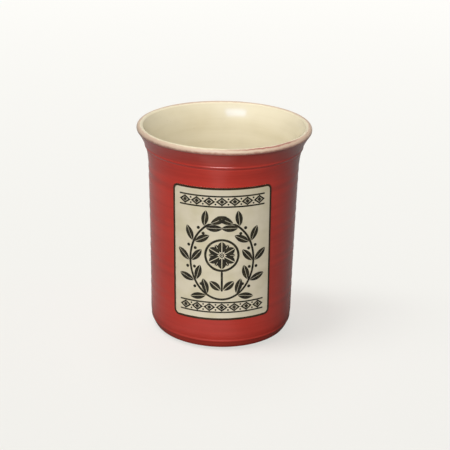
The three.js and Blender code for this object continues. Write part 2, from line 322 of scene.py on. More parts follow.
def inside_run():
    """Inside of the clay from the lip down to the axis. Its rings are higher and wider apart than outside."""
    s = sizes()
    flare_start = flare_top() - s.flare_length
    heights = spread(s.floor_thickness + s.corner_radius, flare_start, STEPS["inner_wall"])
    heights += spread(flare_start, flare_top(), STEPS["inner_flare"])[1:]
    outer = [(outside_radius(z), z) for z in heights]
    wall = []
    for (r, z), normal in zip(outer, normals_of(outer)):
        up = (z - s.floor_thickness) / (flare_top() - s.floor_thickness)
        thick = s.wall_thickness + (2 * s.lip_radius - s.wall_thickness) * up
        fade = clamp((flare_start - z) / s.ring_pitch)
        thick += s.ring_height * 2 * fade * math.sin(2 * math.pi * z / (1.25 * s.ring_pitch))
        wall.append((r - normal.x * thick, z - normal.y * thick))
    wall.reverse()
    r, z = wall[-1]
    corner = [(r - s.corner_radius * (1 - math.cos(a)),
               s.floor_thickness + (z - s.floor_thickness) * (1 - math.sin(a)))
              for a in spread(0, QUARTER, STEPS["corner"])]
    floor = [(x, s.floor_thickness) for x in spread(corner[-1][0], 0, STEPS["floor"])]
    return wall[:-1] + corner + floor[1:]


# Modelling steps that several pieces share


def select_where(test):
    """In edit mode, selects the vertices that pass a test, and what lies between them."""
    bpy.ops.mesh.select_all(action="DESELECT")
    mesh = bmesh.from_edit_mesh(bpy.context.object.data)
    mesh.verts.index_update()
    for vertex in mesh.verts:
        if test(vertex):
            vertex.select_set(True)
    mesh.select_flush_mode()
    bmesh.update_edit_mesh(bpy.context.object.data)


def pick(*pieces):
    """Selects pieces on their own, the first one active."""
    bpy.ops.object.select_all(action="DESELECT")
    for piece in pieces:
        piece.select_set(True)
    bpy.context.view_layer.objects.active = pieces[0]


def start_piece(name, add, **settings):
    """Adds one primitive on its own and enters edit mode."""
    bpy.ops.object.select_all(action="DESELECT")
    add(**settings)
    piece = bpy.context.object
    piece.name = piece.data.name = name
    bpy.ops.object.mode_set(mode="EDIT")
    bpy.ops.mesh.select_all(action="SELECT")
    return piece


def turned(name, profile):
    """A profile drawn by extruding one vertex, spun about the mug's axis."""
    piece = start_piece(name, bpy.ops.mesh.primitive_plane_add, size=MM)
    bpy.ops.mesh.merge(type="CENTER")
    bpy.ops.transform.translate(value=(profile[0][0], 0, profile[0][1]))
    for (r0, z0), (r1, z1) in zip(profile, profile[1:]):
        bpy.ops.mesh.extrude_vertices_move(TRANSFORM_OT_translate={"value": (r1 - r0, 0, z1 - z0)})
    bpy.ops.mesh.select_all(action="SELECT")
    bpy.ops.mesh.spin(steps=sizes().turn_steps, angle=2 * math.pi, center=(0, 0, 0), axis=(0, 0, 1))
    close_up()
    return piece


def close_up():
    """Merges doubles, turns the faces outwards and leaves edit mode."""
    bpy.ops.mesh.select_all(action="SELECT")
    bpy.ops.mesh.remove_doubles(threshold=0.002 * MM)
    bpy.ops.mesh.normals_make_consistent(inside=False)
    bpy.ops.object.mode_set(mode="OBJECT")
    bpy.ops.object.shade_smooth_by_angle(angle=SMOOTH_ANGLE)


def apply_modifier(piece, kind, **settings):
    """Puts a modifier on the active piece and applies it."""
    modifier = piece.modifiers.new(kind.title(), kind)
    for key, value in settings.items():
        setattr(modifier, key, value)
    bpy.ops.object.modifier_apply(modifier=modifier.name)


def finish_piece(piece, material, slot, *nodes):
    """Gives a piece its one material, puts it on the body and hides the solids it stands for."""
    piece.data.materials.clear()
    piece.data.materials.append(material)
    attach(piece, BODY)
    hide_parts(*nodes)


# Flat drawing, laid out in the XY plane and then put on the wall


def label_middle():
    s = sizes()
    return (s.height - s.label_drop + s.label_lift) / 2


def label_height():
    s = sizes()
    return s.height - s.label_drop - s.label_lift


def leaf_motif(name, long, width, vein):
    """Pointed leaf along +X from its stalk: two blades, each the cap of a disc, and a bare vein between."""
    rise = (width - vein) / 2
    radius = (long ** 2 / 4 + rise ** 2) / (2 * rise)
    motif = start_piece(name, bpy.ops.mesh.primitive_circle_add, vertices=CORNERS["leaf"], radius=radius,
                        fill_type="NGON")
    bpy.ops.mesh.bisect(plane_co=(0, radius - rise, 0), plane_no=(0, 1, 0), clear_inner=True)
    bpy.ops.mesh.select_all(action="SELECT")
    bpy.ops.transform.translate(value=(long / 2, rise - radius + vein / 2, 0))
    bpy.ops.mesh.duplicate()
    bpy.ops.transform.resize(value=(1, -1, 1), center_override=(0, 0, 0))
    bpy.ops.mesh.flip_normals()
    bpy.ops.object.mode_set(mode="OBJECT")
    return motif


def line_motif(name, across, along, width):
    """Closed line: a disc or lozenge inset by the width of the line, without its middle."""
    motif = start_piece(name, bpy.ops.mesh.primitive_circle_add, vertices=CORNERS[name], radius=1,
                        fill_type="NGON")
    bpy.ops.transform.resize(value=(across, along, 1))
    bpy.ops.mesh.inset(thickness=width)
    bpy.ops.mesh.delete(type="FACE")
    bpy.ops.object.mode_set(mode="OBJECT")
    return motif


def spot_motif(name, radius):
    """Filled disc, or a lozenge where it has four corners."""
    motif = start_piece(name, bpy.ops.mesh.primitive_circle_add, vertices=CORNERS[name], radius=radius,
                        fill_type="NGON")
    bpy.ops.object.mode_set(mode="OBJECT")
    return motif


def bar_motif(name, across, along):
    """Straight line, with its ends rounded off."""
    motif = start_piece(name, bpy.ops.mesh.primitive_plane_add, size=1)
    bpy.ops.transform.resize(value=(across, along, 1))
    bpy.ops.mesh.bevel(affect="VERTICES", offset=min(across, along) * 0.45, segments=4)
    bpy.ops.object.mode_set(mode="OBJECT")
    return motif


def strew(motif, places):
    """Copies of a motif, each with its own mesh, at (x, y, turn, scale)."""
    copies = []
    for x, y, turn, scale in places:
        pick(motif)
        bpy.ops.object.duplicate()
        copy = bpy.context.object
        copy.location = (x, y, 0)
        copy.rotation_euler.z = turn
        copy.scale = (scale, scale, 1)
        copies.append(copy)
    bpy.data.objects.remove(motif)
    return copies


def one_drawing(name, parts):
    """Motifs joined into one flat piece."""
    pick(*parts)
    bpy.ops.object.transform_apply()
    bpy.ops.object.join()
    piece = bpy.context.object
    piece.name = piece.data.name = name
    return piece


def lay_on_wall(piece, lift, thickness):
    """Turns a drawing askew, cuts it into a fine grid, bends it round the wall, seats it and thickens it."""
    s = sizes()
    radius = outside_radius(label_middle()) + s.bond_gap + s.glaze
    piece.rotation_euler.z = s.label_tilt
    bpy.ops.object.transform_apply()
    spans = [(min(values), max(values)) for values in zip(*(v.co[:2] for v in piece.data.vertices))]
    bpy.ops.object.mode_set(mode="EDIT")
    for (low, high), normal in zip(spans, ((1, 0, 0), (0, 1, 0))):
        for cut in spread(low, high, max(2, round((high - low) / s.grid_step)))[1:-1]:
            bpy.ops.mesh.select_all(action="SELECT")
            bpy.ops.mesh.bisect(plane_co=[cut * n for n in normal], plane_no=normal)
    bpy.ops.object.mode_set(mode="OBJECT")
    piece.rotation_euler.x = QUARTER
    bpy.ops.object.transform_apply()
    apply_modifier(piece, "SIMPLE_DEFORM", deform_method="BEND", deform_axis="Z",
                   angle=(spans[0][1] - spans[0][0]) / radius)
    piece.location = (0, -radius - s.wall_thickness, label_middle())
    bpy.ops.object.transform_apply()
    piece.rotation_euler.z = s.label_turn
    apply_modifier(piece, "SHRINKWRAP", target=bpy.data.objects["red_wall_glaze"], wrap_method="PROJECT",
                   wrap_mode="ABOVE_SURFACE", use_project_y=True, use_positive_direction=True, offset=lift)
    bpy.ops.object.transform_apply()
    apply_modifier(piece, "SOLIDIFY", thickness=thickness, offset=-1)
    bpy.ops.object.mode_set(mode="EDIT")
    close_up()


# Materials. The scale of a pattern is one over its size, in metres.


def add_node(tree, kind, inputs=None, **settings):
    """Adds a shader node with its settings. An input takes a value, or the node or socket that feeds it."""
    node = tree.nodes.new("ShaderNode" + kind)
    for key, value in settings.items():
        setattr(node, key, value)
    for key, value in (inputs or {}).items():
        if isinstance(value, bpy.types.Node):
            value = next(socket for socket in value.outputs if socket.enabled)
        if isinstance(value, bpy.types.NodeSocket):
            tree.links.new(value, node.inputs[key])
        else:
            node.inputs[key].default_value = value
    return node


def new_material(name, *patterns):
    """An empty material, what adds its nodes, the place on the piece in metres, and a noise for each pattern,
    given as its size in millimetres and its detail."""
    material = bpy.data.materials.new(name)
    material.use_nodes = True
    material.node_tree.nodes.clear()
    add = functools.partial(add_node, material.node_tree)
    place = add("TexCoord").outputs["Object"]
    noises = [add("TexNoise", {"Vector": place, "Scale": 1 / (size * MM), "Detail": detail})
              for size, detail in patterns]
    return material, add, place, *noises


def lay_over(add, under, over, value, none_at, most_at, most=1.0, curve="LINEAR"):
    """One colour over another: none of it at one value, the most of it at the other."""
    amount = add("MapRange", {0: value, 1: none_at, 2: most_at, 4: most}, interpolation_type=curve)
    return add("Mix", {0: amount, 6: under, 7: over}, data_type="RGBA")


def surface(add, tone, roughness, ior=1.5, relief=None):
    """Ends a material with its colour, its gloss and its relief: a height, its strength and its depth."""
    inputs = {"Base Color": tone, "IOR": ior, "Roughness": roughness}
    if relief:
        inputs["Normal"] = add("Bump", dict(zip(("Height", "Strength", "Distance"), relief)))
    add("OutputMaterial", {0: add("BsdfPrincipled", inputs)})


def red_glaze_material():
    """Iron-red stoneware glaze, dipped and fired glossy: bright patches where it ran, fine deep streaks round
    the wall, deeper lower down, and burnt over the flare, at the lip and towards the foot, partly where it
    thins and partly as painted shade where these faces turn down."""
    c, s = colours(), sizes()
    material, add, place, cloud, grain = new_material("iron_red_glaze", (22, 3), (1.1, 2))
    height = add("SeparateXYZ", {0: place}).outputs["Z"]
    streak_sizes = (55.56 * MM, 55.56 * MM, 2.381 * MM)
    stretched = add("Mapping", {"Vector": place, "Scale": [1 / size for size in streak_sizes]})
    streak = add("TexNoise", {"Vector": stretched, "Scale": 1.0, "Detail": 4.0})
    ragged = add("Math", {0: cloud, 1: 4 * MM, 2: height}, operation="MULTIPLY_ADD")
    tone = lay_over(add, c.red, c.red_bright, cloud, 0.25, 0.75, curve="SMOOTHSTEP")
    tone = lay_over(add, tone, c.red_deep, streak, 0.45, 0.75, 0.55)
    tone = lay_over(add, tone, c.red_deep, height, flare_top(), s.heel_height, 0.4)
    # Burnt red over the flare, at the lip and towards the foot: partly the glaze breaking, partly painted
    # shade on faces that turn down
    for none_at, most_at, most in ((ridge_z() - 2 * MM, ridge_z() + 6 * MM, 0.12),
                                   (flare_top() + 0.7 * MM, flare_top() + 2 * MM, 0.45),
                                   (s.glaze_line + 9 * MM, s.glaze_line + 1.5 * MM, 0.38)):
        tone = lay_over(add, tone, c.burnt_red_and_shade, ragged, none_at, most_at, most, "SMOOTHSTEP")
    uneven = add("Math", {0: streak, 1: 0.6, 2: grain}, operation="MULTIPLY_ADD")
    surface(add, tone, 0.25, relief=(uneven, 0.25, 0.06 * MM))
    return material


def cream_glaze_material():
    """Cream liner glaze, poured and fired glossy: faint streaks round the wall, a deeper tone where it pools
    at the floor, and a few pale brown specks of iron from the clay."""
    c, s = colours(), sizes()
    material, add, place, cloud = new_material("cream_liner_glaze", (20, 3))
    height = add("SeparateXYZ", {0: place}).outputs["Z"]
    streak_sizes = (71.43 * MM, 71.43 * MM, 3.846 * MM)
    stretched = add("Mapping", {"Vector": place, "Scale": [1 / size for size in streak_sizes]})
    streak = add("TexNoise", {"Vector": stretched, "Scale": 1.0, "Detail": 3.0})
    cells = add("TexVoronoi", {"Vector": place, "Scale": 1 / (5.5 * MM)})
    pool = add("MapRange", {0: height, 1: s.floor_thickness + 16 * MM, 2: s.floor_thickness, 4: 0.35})
    mixed = add("Math", {0: streak, 1: cloud}, operation="MULTIPLY")
    thick = add("MapRange", {0: mixed, 1: 0.18, 2: 0.42, 4: 0.45})
    amount = add("Math", {0: thick, 1: pool}, operation="ADD")
    tone = add("Mix", {0: amount, 6: c.cream, 7: c.cream_deep}, data_type="RGBA")
    tone = lay_over(add, tone, c.clay_dark, cells, 0.05, 0.03, 0.25)
    surface(add, tone, 0.16, relief=(streak, 0.3, 0.06 * MM))
    return material


def lip_material():
    """Cream glaze wiped thin over the red on the lip: pinkish on the outer curve, cream inside, with a ragged
    burnt edge below and, front right, a burnt line where the cream crept back."""
    c = colours()
    material, add, place, drift, mottle, fringe = new_material("thin_lip_glaze", (50, 1), (3, 4), (1.8, 3))
    middle = lip_centre()
    # Where the cream starts, as an angle round the lip from its outer side, and its creep per metre of depth
    cream_edge, creep = 2.0, -14.0
    split = add("SeparateXYZ", {0: place})
    flat = add("VectorMath", {0: place, 1: (1, 1, 0)}, operation="MULTIPLY")
    radius = add("VectorMath", {0: flat}, operation="LENGTH")
    out = add("Math", {0: radius, 1: middle.x}, operation="SUBTRACT")
    up = add("Math", {0: split.outputs["Z"], 1: middle.y}, operation="SUBTRACT")
    around = add("Math", {0: up, 1: out}, operation="ARCTAN2")
    ragged = add("Math", {0: fringe, 1: around}, operation="ADD")
    crept = add("Math", {0: split.outputs["Y"], 1: creep, 2: around}, operation="MULTIPLY_ADD")
    inward = add("Math", {0: mottle, 1: 0.8, 2: crept}, operation="MULTIPLY_ADD")
    tone = lay_over(add, c.lip, c.lip_deep, drift, 0.35, 0.65, 0.6)
    tone = lay_over(add, tone, c.cream, inward, cream_edge - 0.15, cream_edge + 0.2)
    off = add("Math", {0: inward, 1: cream_edge}, operation="SUBTRACT")
    near = add("Math", {0: off}, operation="ABSOLUTE")
    front = add("MapRange", {0: split.outputs["Y"], 1: -28 * MM, 2: -19 * MM, 3: 1.0, 4: 0.15})
    along = add("VectorMath", {0: place, 1: (1, -0.5, 0)}, operation="DOT_PRODUCT")
    right = add("MapRange", {0: along, 1: 20 * MM, 2: 38 * MM})
    most = add("Math", {0: front, 1: right}, operation="MULTIPLY")
    tone = lay_over(add, tone, c.lip_brown, near, 0.38, 0.12, most)
    tone = lay_over(add, tone, c.lip_brown, ragged, 0.75, 0.1)
    surface(add, tone, 0.35, relief=(mottle, 0.3, 0.08 * MM))
    return material


def clay_material():
    """Buff stoneware, turned and left bare: dry, toasted in patches, with grog specks and the fine rings of
    the turning tool."""
    c = colours()
    material, add, place, cloud, grit = new_material("bare_stoneware", (12, 5), (0.6, 3))
    cells = add("TexVoronoi", {"Vector": place, "Scale": 1 / (2.2 * MM)})
    # about three rings in 2.2 mm
    rings = add("TexWave", {"Vector": place, "Scale": 1 / (2.2 * MM), "Distortion": 1.2, "Detail": 2.0,
                            "Detail Scale": 0.4}, wave_type="RINGS", rings_direction="Z")
    tone = lay_over(add, c.clay, c.clay_dark, cloud, 0.4, 0.7, 0.7)
    tone = lay_over(add, tone, c.burnt_red_and_shade, cells, 0.2, 0.1, 0.55)
    uneven = add("Math", {0: rings.outputs["Fac"], 1: 0.5, 2: grit}, operation="MULTIPLY_ADD")
    surface(add, tone, 0.88, relief=(uneven, 0.5, 0.15 * MM))
    return material


def label_material():
    """Cream enamel panel, screened on and fired satin: soft patches where the coat is thicker, and fine
    pin-holes."""
    c = colours()
    material, add, _, cloud, grain = new_material("cream_enamel_panel", (9, 4), (0.9, 2))
    tone = lay_over(add, c.label, c.label_deep, cloud, 0.42, 0.68, 0.8)
    surface(add, tone, 0.36, relief=(grain, 0.2, 0.05 * MM))
    return material


def ink_material(name, full, thin):
    """Ceramic ink, screened on and fired: nearly black, a little starved and brown in places."""
    material, add, _, cloud = new_material(name, (2.5, 5))
    surface(add, lay_over(add, full, thin, cloud, 0.45, 0.75, 0.9), 0.5, ior=1.42)
    return material


def floor_material():
    """Matt white studio paper, a little paler far off. It is pale to the camera only: the mug gets less light
    from it, and mirrors it grey, paler to the left, with a paler strip in front as a painted sheen and a
    darker patch round the foot as painted shade. To the camera it partly glows, more so farther back, which
    fades the mug's shadow there."""
    material, add, place = new_material("studio_paper")
    split = add("SeparateXYZ", {0: place})
    x, y = split.outputs["X"], split.outputs["Y"]
    near_y, far_y = -0.2, 1.0
    sheen_strip_x = -8 * MM
    tone = lay_over(add, colours().floor, linear("#f3f2ef"), y, near_y, far_y)
    bright = lay_over(add, linear("#f1f0eb"), linear("#fffefa"), y, near_y, far_y)
    beside = add("Math", {0: x, 1: sheen_strip_x}, operation="SUBTRACT")
    away = add("Math", {0: beside}, operation="ABSOLUTE")
    flat = add("VectorMath", {0: place, 1: (1, 1, 0)}, operation="MULTIPLY")
    radius = add("VectorMath", {0: flat}, operation="LENGTH")
    # What the glaze mirrors of the floor, painted: grey, paler to the left, a paler strip in front for a
    # painted sheen, and darker round the foot for painted shade
    mirrored = lay_over(add, linear("#acaba8"), linear("#9d9c99"), x, -60 * MM, 60 * MM)
    mirrored = lay_over(add, mirrored, linear("#eeedea"), away, 45 * MM, 12 * MM, curve="SMOOTHSTEP")
    mirrored = lay_over(add, linear("#625f5b"), mirrored, radius, 36 * MM, 58 * MM, curve="SMOOTHSTEP")
    ray = add("LightPath")
    seen = ray.outputs["Is Camera Ray"]
    dim = add("Mix", {0: ray.outputs["Is Glossy Ray"], 6: linear("#2e2d2c"), 7: mirrored}, data_type="RGBA")
    base = add("Mix", {0: seen, 6: dim, 7: tone}, data_type="RGBA")
    lit = add("BsdfDiffuse", {"Color": base, "Roughness": 0.0})
    shine = add("Emission", {"Color": bright})
    # Farther back the floor glows more to the camera, which paints out the mug's shadow there
    share = add("MapRange", {0: y, 1: 20 * MM, 2: 62 * MM, 3: 0.48, 4: 0.9}, interpolation_type="SMOOTHSTEP")
    glow = add("Math", {0: seen, 1: share}, operation="MULTIPLY")
    shader = add("MixShader", {0: glow, 1: lit, 2: shine})
    add("OutputMaterial", {0: shader})
    return material


# Operators, one for each piece or group of like pieces


class MUG_OT_clay(bpy.types.Operator):
    """Turns the bare clay body, and gives the clay under the glaze its material"""

    bl_idname = "mug.clay"
    bl_label = "Clay body"

    # Depth of the hollow base, and how far in from the foot's radius it and the ring round it end
    hollow, hollow_inset, ring_inset = 0.35 * MM, 6 * MM, 4.6 * MM
    # Width and rise of the foot's rounded edge, and the height where the wall's own points start
    edge, edge_rise, above_edge = 0.6 * MM, 0.15 * MM, 0.18 * MM

    def execute(self, context):
        s = sizes()
        material = clay_material()
        flat = s.foot_radius - self.edge
        foot = [(0, self.hollow), (s.foot_radius - self.hollow_inset, self.hollow),
                (s.foot_radius - self.ring_inset, 0), (flat, 0)]
        foot += [(flat + self.edge * math.sin(a), self.edge_rise * (1 - math.cos(a)))
                 for a in spread(0, QUARTER, STEPS["edge"])][1:]
        outside = [p for p in outside_run(0)[1:] if p[1] > self.above_edge]
        piece = turned("clay_body", foot + outside + lip_run(0)[1:-1] + inside_run())
        finish_piece(piece, material, "clay", "thrown_body")
        for node in ("handle", "upper_slip_joint", "lower_slip_joint"):
            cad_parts[node].data.materials.clear()
            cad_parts[node].data.materials.append(material)
        return {"FINISHED"}


class MUG_OT_wall_glaze(bpy.types.Operator):
    """Dips the outside of the wall in red glaze"""

    bl_idname = "mug.wall_glaze"
    bl_label = "Red wall glaze"

    def execute(self, context):
        slope = lip_slope()
        outer, inner = coat_faces(outside_run(sizes().glaze_line), last=(math.cos(slope), -math.sin(slope)))
        piece = turned("red_wall_glaze", outer + inner[::-WALL_THINNING] + [inner[0], outer[0]])
        finish_piece(piece, red_glaze_material(), "red_glaze", "wall_glaze")
        return {"FINISHED"}


class MUG_OT_liner_glaze(bpy.types.Operator):
    """Pours the cream glaze inside"""

    bl_idname = "mug.liner_glaze"
    bl_label = "Cream liner glaze"

    def execute(self, context):
        slope = lip_slope()
        outer, inner = coat_faces(inside_run(), first=(-math.cos(slope), math.sin(slope)))
        profile = inner[::-WALL_THINNING] + [inner[0]] + outer
        profile[0] = (0, profile[0][1])
        profile[-1] = (0, profile[-1][1])
        piece = turned("cream_liner_glaze", profile)
        finish_piece(piece, cream_glaze_material(), "cream_glaze", "liner_glaze")
        return {"FINISHED"}


class MUG_OT_lip_glaze(bpy.types.Operator):
    """Lays the thin glaze over the lip"""

    bl_idname = "mug.lip_glaze"
    bl_label = "Lip glaze"

    def execute(self, context):
        s = sizes()
        outer = lip_run(s.bond_gap + s.glaze)
        inner = lip_run(s.bond_gap)
        piece = turned("thin_lip_glaze", outer + inner[::-LIP_THINNING] + [inner[0], outer[0]])
        finish_piece(piece, lip_material(), "lip_glaze", "lip_glaze")
        return {"FINISHED"}


class MUG_OT_handle(bpy.types.Operator):
    """Pulls the glazed strap handle and presses its roots on to the wall"""

    bl_idname = "mug.handle"
    bl_label = "Handle glaze"

    # Rings along the strap, segments of a ring's corner, and its rounding as a share of half the thickness
    steps, arc, corner = 110, 4, 0.92
    # Depth of the ends in the wall, size and reach of the fillet, and where the rings start to turn
    sunk, fillet, fillet_reach, turn_reach = 2.3 * MM, 3.6 * MM, 7 * MM, 10 * MM
    # Share of the strap's run that each flared root takes
    flare_share = 0.2

    def rings(self):
        """Rings along the strap: centre, tilt, half width, half thickness, height over the wall, and how far
        they are turned to lie along it. Near the wall they swell into a fillet."""
        s = sizes()
        coat = s.bond_gap + s.glaze
        top_z, foot_z = s.height - s.handle_top_drop, s.handle_foot_lift
        top, foot = outside_radius(top_z), outside_radius(foot_z)
        pull = (4 * s.handle_reach + s.root_depth) / 3
        a, b = Vector((top - s.root_depth, top_z)), Vector((top + pull, top_z + s.shoulder_rise))
        c, d = Vector((foot + pull, foot_z + s.belly_rise)), Vector((foot - s.root_depth, foot_z))
        out = []
        for share in spread(0, 1, self.steps):
            t = eased(share)
            u = 1 - t
            centre = a * u ** 3 + b * 3 * u * u * t + c * 3 * u * t * t + d * t ** 3
            along = (b - a) * u * u + (c - b) * 2 * u * t + (d - c) * t * t
            clear = centre.x - outside_radius(centre.y) - coat
            if clear < -self.sunk:
                continue
            swell = self.fillet * clamp(1 - clear / self.fillet_reach) ** 3
            laid = eased(1 - clear / self.turn_reach)
            tilt = math.atan2(-along.x, along.y)
            lean = (math.copysign(QUARTER, tilt) - tilt) * laid
            flare = s.root_flare * max(0, 1 - min(t, u) / self.flare_share) ** 2
            width = s.strap_top_width + (s.strap_foot_width - s.strap_top_width) * t + flare
            thick = s.strap_top_thickness + (s.strap_foot_thickness - s.strap_top_thickness) * t
            half_thick = (thick / 2 + coat * (0.6 + 0.4 * laid)) / math.cos(lean) + swell
            out.append((centre, tilt + lean, width / 2 + coat + 0.75 * swell, half_thick, clear + coat, laid))
        return out

    def wrap(self, piece, first, over, laid):
        """Bends the ring that starts at a vertex round the wall."""
        mesh = bmesh.from_edit_mesh(piece.data)
        mesh.verts.index_update()
        for vertex in mesh.verts:
            if vertex.index >= first:
                radius = outside_radius(vertex.co.z) + over
                vertex.co.y += (math.sqrt(radius ** 2 - vertex.co.x ** 2) - vertex.co.y) * laid
        bmesh.update_edit_mesh(piece.data)

    def execute(self, context):
        count = 4 * (self.arc + 1)
        piece = start_piece("red_handle_glaze", bpy.ops.mesh.primitive_plane_add, size=MM)
        bpy.ops.mesh.delete(type="VERT")
        for index, (centre, tilt, half_width, half_thick, over, laid) in enumerate(self.rings()):
            middle = (0, centre.x, centre.y)
            bpy.ops.mesh.select_all(action="DESELECT")
            bpy.ops.mesh.primitive_plane_add(size=2 * half_thick, location=middle, rotation=(tilt, 0, 0))
            bpy.ops.transform.resize(value=(half_width / half_thick, 1, 1), center_override=middle)
            bpy.ops.mesh.bevel(affect="VERTICES", offset=self.corner * half_thick, segments=self.arc)
            bpy.ops.mesh.delete(type="ONLY_FACE")
            self.wrap(piece, index * count, over, laid)
            if index:
                select_where(lambda v: v.index >= (index - 1) * count)
                bpy.ops.mesh.bridge_edge_loops()
        last = len(bmesh.from_edit_mesh(piece.data).verts) - count
        for test in (lambda v: v.index < count, lambda v: v.index >= last):
            select_where(test)
            bpy.ops.mesh.edge_face_add()
        close_up()
        apply_modifier(piece, "SUBSURF", levels=2, render_levels=2)
        finish_piece(piece, red_glaze_material(), "red_glaze", "handle_glaze")
        return {"FINISHED"}


class MUG_OT_label(bpy.types.Operator):
    """Lays the cream panel and the dark line round it on the front of the wall"""

    bl_idname = "mug.label"
    bl_label = "Label panel"

    def panel(self, name):
        """Flat panel with rounded corners, in edit mode."""
        s = sizes()
        piece = start_piece(name, bpy.ops.mesh.primitive_plane_add, size=1)
        bpy.ops.transform.resize(value=(s.label_width, label_height(), 1))
        bpy.ops.mesh.bevel(affect="VERTICES", offset=s.label_corner, segments=8)
        return piece

    def execute(self, context):
        s, c = sizes(), colours()
        ground = self.panel("cream_label_panel")
        bpy.ops.object.mode_set(mode="OBJECT")
        lay_on_wall(ground, s.panel_lift, s.ink_thickness)
        finish_piece(ground, label_material(), "label_ground", "label_ground")
        border = self.panel("dark_label_border")
        bpy.ops.mesh.select_all(action="SELECT")
        bpy.ops.mesh.inset(thickness=s.border_width)
        bpy.ops.mesh.delete(type="FACE")
        bpy.ops.object.mode_set(mode="OBJECT")
        lay_on_wall(border, s.ink_lift, s.ink_thickness)
        ink = ink_material("brown_border_ink", c.border, c.border_thin)
        finish_piece(border, ink, "border_ink", "label_border")
        return {"FINISHED"}


class MUG_OT_print(bpy.types.Operator):
    """Prints a flower inside a wreath, between two bands of lozenges, on the label"""

    bl_idname = "mug.print"
    bl_label = "Label print"

    # Where the wreath's leaves start and end and where its stem ends, in degrees up each side from the bottom
    first_leaf, last_leaf, stem_end = 26, 146, 160
    # How far behind a pair of leaves its berries sit, in degrees, and off the stem and how large, in stems
    berry_lag, berry_off, berry_size = 7, 1.7, 0.75
    # Size of a side leaf against the top one, and length of the leaves at the flower's foot
    side_leaf, stalk_leaf = 0.93, 7 * MM

    def room(self):
        """Half width and half height that the border and the margin leave."""
        s = sizes()
        edge = s.border_width + s.ink_margin
        return s.label_width / 2 - edge, label_height() / 2 - edge

    def oval(self):
        """Half width, half height and middle of the wreath's stem."""
        s = sizes()
        side, half = self.room()
        reach = s.leaf_length * math.sin(s.leaf_angle)
        return side - reach, half - s.band_height - s.ornament_gap - reach / 2, -reach / 2

    def wreath(self):
        """An oval stem, open at the top, with pairs of leaves and berries."""
        s = sizes()
        across, along, middle = self.oval()

        def at(turn, sign):
            return sign * across * math.sin(turn), middle - along * math.cos(turn)

        def heading(turn, sign):
            return math.atan2(along * math.sin(turn), sign * across * math.cos(turn))

        tip = math.radians(self.stem_end)
        stem = line_motif("stem", across + s.stem / 2, along + s.stem / 2, s.stem)
        stem.location.y = middle
        bpy.ops.object.transform_apply()
        bpy.ops.object.mode_set(mode="EDIT")
        bpy.ops.mesh.select_all(action="SELECT")
        bpy.ops.mesh.bisect(plane_co=(0, at(tip, 1)[1], 0), plane_no=(0, 1, 0), clear_outer=True)
        bpy.ops.object.mode_set(mode="OBJECT")
        leaves, berries = [], []
        turns = [math.radians(a) for a in spread(self.first_leaf, self.last_leaf, s.leaf_pairs - 1)]
        for sign in (-1, 1):
            leaves.append((*at(tip, sign), heading(tip, sign), 1))
            for turn in turns:
                for lean in (-s.leaf_angle, s.leaf_angle):
                    out = heading(turn, sign) + lean
                    leaves.append((*from_point(*at(turn, sign), s.stem, out), out, self.side_leaf))
            for turn in turns[1:]:
                place = at(turn - math.radians(self.berry_lag), sign)
                for lean in (-QUARTER, QUARTER):
                    out = heading(turn, sign) + lean
                    berries.append((*from_point(*place, self.berry_off * s.stem, out), 0, 1))
        parts = [stem]
        parts += strew(leaf_motif("leaf", s.leaf_length, s.leaf_width, s.vein), leaves)
        parts += strew(spot_motif("berry", s.stem * self.berry_size), berries)
        return one_drawing("wreath_print", parts)

    def flower(self):
        """Petals and sepals in a ring, on a stalk with two leaves."""
        s = sizes()
        across, along, middle = self.oval()
        heart = middle + s.flower_lift
        radius = across - s.leaf_length * math.sin(s.leaf_angle) - s.ornament_gap
        inside = radius - s.flower_ring
        petal_start, sepal_start = s.stem * 1.35, inside * 0.5
        foot = middle - along + s.leaf_length / 2
        tall = heart - radius - foot
        turns = [2 * math.pi * i / s.petals + QUARTER for i in range(s.petals)]
        between = [turn + math.pi / s.petals for turn in turns]
        centre = [(0, heart, 0, 1)]
        parts = strew(line_motif("ring", radius, radius, s.flower_ring), centre)
        parts += strew(line_motif("inner_ring", s.stem * 1.1, s.stem * 1.1, s.stem * 0.45), centre)
        parts += strew(spot_motif("heart", s.stem * 0.38), centre)
        parts += strew(leaf_motif("petal", inside - petal_start - s.vein, s.petal_width, s.vein),
                       [(*from_point(0, heart, petal_start, a), a, 1) for a in turns])
        parts += strew(leaf_motif("sepal", inside * 0.36, s.petal_width * 0.42, s.vein * 0.5),
                       [(*from_point(0, heart, sepal_start, a), a, 1) for a in between])
        parts += strew(bar_motif("stalk", s.stem, tall), [(0, foot + tall / 2, 0, 1)])
        parts += strew(leaf_motif("stalk_leaf", self.stalk_leaf, s.leaf_width, s.vein),
                       [(*from_point(0, foot, s.stem, a), a, 1)
                        for a in (s.leaf_angle, math.pi - s.leaf_angle)])
        return one_drawing("flower_print", parts)

    def band(self, name, sign):
        """A row of lozenges with dots between them, between two rules."""
        s = sizes()
        side, half = self.room()
        radius = s.band_height / 2
        y = sign * (half - radius)
        pitch = (2 * side - s.band_height) / (s.lozenges - 1)
        xs = [radius - side + i * pitch for i in range(s.lozenges)]
        row = [(x, y, 0, 1) for x in xs]
        rise = radius - s.rule_width / 2
        parts = strew(bar_motif("rule", 2 * side, s.rule_width), [(0, y - rise, 0, 1), (0, y + rise, 0, 1)])
        parts += strew(line_motif("lozenge", radius, radius - s.rule_width, s.rule_width), row)
        parts += strew(spot_motif("inner_lozenge", radius * 0.38), row)
        parts += strew(spot_motif("dot", s.rule_width * 0.6),
                       [(x + pitch / 2, y + up * radius * 0.45, 0, 1) for x in xs[:-1] for up in (-1, 1)])
        return one_drawing(name, parts)

    def execute(self, context):
        s, c = sizes(), colours()
        material = ink_material("dark_print_ink", c.ink, c.ink_thin)
        for piece, node in ((self.flower(), "print_flower"), (self.wreath(), "print_wreath"),
                            (self.band("upper_band_print", 1), "print_upper_band"),
                            (self.band("lower_band_print", -1), "print_lower_band")):
            pick(piece)
            lay_on_wall(piece, s.ink_lift, s.ink_thickness)
            finish_piece(piece, material, "print_ink", node)
        return {"FINISHED"}


